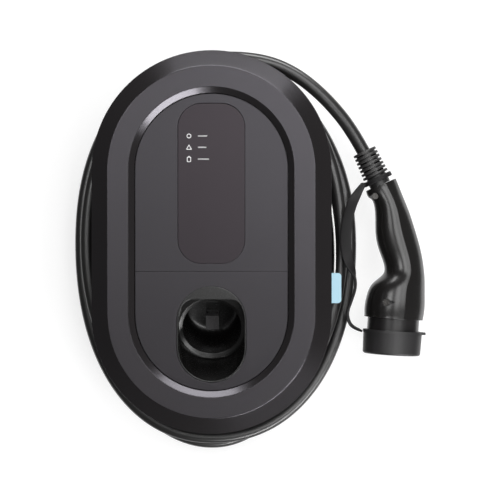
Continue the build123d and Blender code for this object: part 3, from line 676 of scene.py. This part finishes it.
wear(finish("line_sheath", (0.2, 0.075, 0.03), 0.45), "line_wire")
wear(finish("neutral_sheath", (0.03, 0.12, 0.45), 0.45), "neutral_wire")
wear(finish("earth_sheath", (0.12, 0.36, 0.05), 0.45), "earth_wire")

# %% [markdown]
# The tag is pale blue card, matt and almost even, and its thread is white cotton with a coarse bump.

# %% Tag and thread
tag_finish = finish("tag_card", (0.41, 0.645, 0.76), 0.6, grain=1500, bump=0.2, drift=0.04)
wear(tag_finish, "hang_tag")

thread_finish = finish("white_thread", (0.86, 0.86, 0.84), 0.8, grain=2500, bump=0.6, drift=0.05)
wear(thread_finish, thread)

# %% [markdown]
# Three status marks are printed on the window in white: a ring, a triangle and a cell, each with a short
# bar beside it. They could be painted by the window's nodes, but as pieces they stay crisp. A mark is a
# flat band that follows a closed outline, just proud of the window.

# %% Bands
WINDOW_D = 125.0
PRINT_T = 0.08


def band(name, outline, wide):
    """A flat closed band about an outline in mm: edges half its width out and in, and a thin wall."""
    along = np.roll(outline, -1, axis=0) - np.roll(outline, 1, axis=0)
    normal = np.stack([along[:, 1], -along[:, 0]], axis=1)
    normal /= np.linalg.norm(normal, axis=1, keepdims=True)
    outer = outline + normal * wide / 2
    inner = outline - normal * wide / 2
    rows = [(outer, 0), (outer, PRINT_T), (inner, PRINT_T), (inner, 0)]
    points = np.stack([place(edge[:, 0], edge[:, 1], WINDOW_D + lift) for edge, lift in rows])
    mesh = grid_mesh(name, points, close_u=True, close_v=True)
    return link(bpy.data.objects.new(name, mesh), CHARGER)


def round_outline(x, z, r, n=48):
    """A circle of radius r about (x, z), as n points."""
    angle = np.linspace(0, 2 * np.pi, n, endpoint=False)
    return np.stack([x + r * np.cos(angle), z + r * np.sin(angle)], axis=1)


def rounded_outline(x, z, w, h, r, n=8):
    """A rectangle w by h about (x, z): a quarter circle of radius r, as n points, at each corner."""
    angle = np.linspace(0, np.pi / 2, n) + np.arange(4)[:, None] * np.pi / 2
    across = np.array([1, -1, -1, 1])[:, None] * (w / 2 - r)
    upward = np.array([1, 1, -1, -1])[:, None] * (h / 2 - r)
    points = np.stack([x + across + r * np.cos(angle), z + upward + r * np.sin(angle)], axis=-1)
    return points.reshape(-1, 2)


def triangle_outline(x, z, r, n=12):
    """A triangle that stands on a side, with its corners r from (x, z) and n points to a side."""
    corner = np.radians([90, 210, 330])
    tips = np.stack([x + r * np.cos(corner), z + r * np.sin(corner)], axis=1)
    part = np.linspace(0, 1, n, endpoint=False)[:, None]
    points = tips[:, None] * (1 - part) + np.roll(tips, -1, axis=0)[:, None] * part
    return points.reshape(-1, 2)


print("print stands", PRINT_T, "mm proud of the window")

# %% [markdown]
# The marks stand in a column and their bars start in line. All sizes are in millimetres on the window.

# %% Status marks
MARK_X = -22.5
MARK_Z = (106.3, 94.9, 83.1)
CIRCLE_Z, TRIANGLE_Z, CELL_Z = MARK_Z
LINE = 0.7
CIRCLE_R = 1.95
CIRCLE_LINE = 0.75
CELL_W = 3.4
CELL_H = 4.6
CELL_CORNER = 0.6
CELL_DROP = 0.3
TOP_W = 1.1
TOP_RISE = 2.7
TOP_LINE = 0.6
TRIANGLE_R = 2.9
TRIANGLE_DROP = 0.5
BAR_X = -13.6
BAR_LENGTHS = (9.4, 8.6, 11.2)
BAR_LINE = 0.9

# Outline of a bar or of the cell's top: a slit this high, which its band fills
SLIT_H = 0.3
SLIT_CORNER = 0.14

cell = rounded_outline(MARK_X, CELL_Z - CELL_DROP, CELL_W, CELL_H, CELL_CORNER)
cell_top = rounded_outline(MARK_X, CELL_Z + TOP_RISE, TOP_W, SLIT_H, SLIT_CORNER)
triangle = triangle_outline(MARK_X, TRIANGLE_Z - TRIANGLE_DROP, TRIANGLE_R)
marks = [
    band("mark_ring", round_outline(MARK_X, CIRCLE_Z, CIRCLE_R), CIRCLE_LINE),
    band("mark_cell", cell, LINE),
    band("mark_cell_top", cell_top, TOP_LINE),
    band("mark_triangle", triangle, LINE),
]
for k, (z, length) in enumerate(zip(MARK_Z, BAR_LENGTHS)):
    bar = rounded_outline(BAR_X + length / 2, z, length - BAR_LINE, SLIT_H, SLIT_CORNER)
    marks.append(band(f"mark_bar_{k}", bar, BAR_LINE))
wear(finish("white_print", (0.82, 0.82, 0.82), 0.6, grain=1500, bump=0.1, drift=0.02), *marks)

# %% [markdown]
# The charger hangs on a plain white board. The board is see-through from behind, so that the other views
# can look at the back of the charger. Its paint takes the shadow, and a glow, which only straight looks
# and reflections meet, lifts it to white without putting more light on the charger. It is no larger than
# the picture needs, because its reflection would make the black sides of the cover and the plug grey.

# %% Studio board
# Gap behind the charger and half the board's side in metres, then the strength of paint and glow
WALL_GAP = 0.004
WALL_HALF = 0.285
PAINT = 0.45
GLOW = 0.62


def wall_surface():
    """A flat square behind the object: x and z run over the grid's two parameters at one depth."""
    side = np.array([-WALL_HALF, WALL_HALF])
    x, z = np.meshgrid(side + CAMERA_X * MM, side + CAMERA_Z * MM)
    return np.stack([x, np.full_like(x, WALL_GAP), z], axis=-1)


def stage_finish():
    """Paint plus a glow for looks and reflections on the front, and clear on the back."""
    mat = bpy.data.materials.new("studio_white")
    mat.use_nodes = True
    tree = mat.node_tree
    nodes = tree.nodes
    links = tree.links
    nodes.clear()
    out = nodes.new("ShaderNodeOutputMaterial")
    paint = nodes.new("ShaderNodeBsdfDiffuse")
    paint.inputs["Color"].default_value = (PAINT, PAINT, PAINT, 1)
    path = nodes.new("ShaderNodeLightPath")
    looks = maths(tree, "ADD", path.outputs["Is Camera Ray"], path.outputs["Is Glossy Ray"])
    sees = maths(tree, "ADD", looks, path.outputs["Is Transmission Ray"])
    glow = nodes.new("ShaderNodeEmission")
    links.new(maths(tree, "MULTIPLY", sees, GLOW), glow.inputs["Strength"])
    front = nodes.new("ShaderNodeAddShader")
    links.new(paint.outputs[0], front.inputs[0])
    links.new(glow.outputs[0], front.inputs[1])
    side = nodes.new("ShaderNodeNewGeometry")
    clear = nodes.new("ShaderNodeBsdfTransparent")
    mix = nodes.new("ShaderNodeMixShader")
    links.new(side.outputs["Backfacing"], mix.inputs[0])
    links.new(front.outputs[0], mix.inputs[1])
    links.new(clear.outputs[0], mix.inputs[2])
    links.new(mix.outputs[0], out.inputs[0])
    return mat


stage = bpy.data.objects.new("studio_wall", grid_mesh("studio_wall", wall_surface()))
bpy.context.scene.collection.objects.link(stage)
stage.data.materials.append(stage_finish())
print("studio board", 2 * WALL_HALF, "m wide, faces", list(stage.data.polygons[0].normal))

# %% [markdown]
# Black plastic shows its lamps rather than its colour, so each lamp stands where a slope would mirror it.
# A big one high behind the camera gives the flat faces their sheen, one above lights the top bezel and
# the foot of the step, and a narrow one low on the right lights the step's upper left. Behind these two
# hangs a longer and weaker one, so that the light on a slope fades out at its ends. The three others draw
# the plug's belly from the left, the dock and the lowest strands from below, and the tail from the right.

# %% Lamps
# All lamps look at this point, in metres, between the body and the plug
AIM = Vector((0.04, -0.1, 0.0))


def lamp(name, clock, lean, far, around, across, radiance, upright):
    """A soft lamp at lean degrees off the front axis, at clock degrees counterclockwise from the right.

    It is far metres from AIM, around long about that axis and across wide the other way, or stands
    upright. Its power is radiance times pi times its area.
    """
    data = bpy.data.lights.new(name, "AREA")
    data.shape = "RECTANGLE"
    data.size = across
    data.size_y = around
    data.energy = radiance * np.pi * around * across
    obj = bpy.data.objects.new(name, data)
    c = np.radians(clock)
    a = np.radians(lean)
    way = Vector((np.sin(a) * np.cos(c), -np.cos(a), np.sin(a) * np.sin(c)))
    out = Vector((np.cos(a) * np.cos(c), np.sin(a), np.cos(a) * np.sin(c)))
    turn = Matrix((out, way.cross(out), way)).transposed()
    if upright:
        turn = way.to_track_quat("Z", "Y").to_matrix()
    obj.location = AIM + way * far
    obj.rotation_euler = turn.to_euler()
    obj.visible_camera = False
    bpy.context.scene.collection.objects.link(obj)


# Name, clock, lean, far, around, across, radiance, upright
LAMPS = [
    ("sheen_lamp", 63.5, 16.9, 3.0, 1.6, 1.05, 4.6, True),
    ("top_lamp", 82, 79, 1.65, 1.9, 0.49, 7.9, False),
    ("top_fill", 82, 79, 1.7, 2.6, 0.49, 2.2, False),
    ("low_right_lamp", -58, 74, 1.5, 1.3, 0.22, 17.5, False),
    ("low_right_fill", -58, 74, 1.55, 1.9, 0.22, 4.5, False),
    ("left_lamp", 150, 25.5, 2.5, 0.85, 0.75, 6.0, True),
    ("low_front_lamp", -47, 32, 1.8, 0.5, 1.2, 4.6, True),
    ("right_lamp", 31, 35, 2.0, 1.3, 0.6, 3.6, True),
]
for row in LAMPS:
    lamp(*row)
print("lamps", len(LAMPS))

# %% [markdown]
# A dim even sky fills the shadows, so that the sides and the back can be read in the other views.

# %% Sky
SKY_STRENGTH = 0.11

world = bpy.data.worlds.new("studio_world")
bpy.context.scene.world = world
world.use_nodes = True
sky = world.node_tree.nodes["Background"]
sky.inputs["Color"].default_value = (1, 1, 1, 1)
sky.inputs["Strength"].default_value = SKY_STRENGTH
print("sky", SKY_STRENGTH)

# %% [markdown]
# The cable has the plug on its end and starts at the mouth of the gland, whose place is worked out here.

# %% Mouth of the gland
GLAND_MOUTH_Z = 36.0
tuple(place(GLAND_X, GLAND_MOUTH_Z, GLAND_D))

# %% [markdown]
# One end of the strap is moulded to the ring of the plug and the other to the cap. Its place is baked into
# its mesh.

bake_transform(strap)
print("cords", strap.name, "and", thread.name)

# %% [markdown]
# Dressing must not change the size of the charger. The scene is updated once more at the end.

# %% Last update of the scene
bpy.context.view_layer.update()
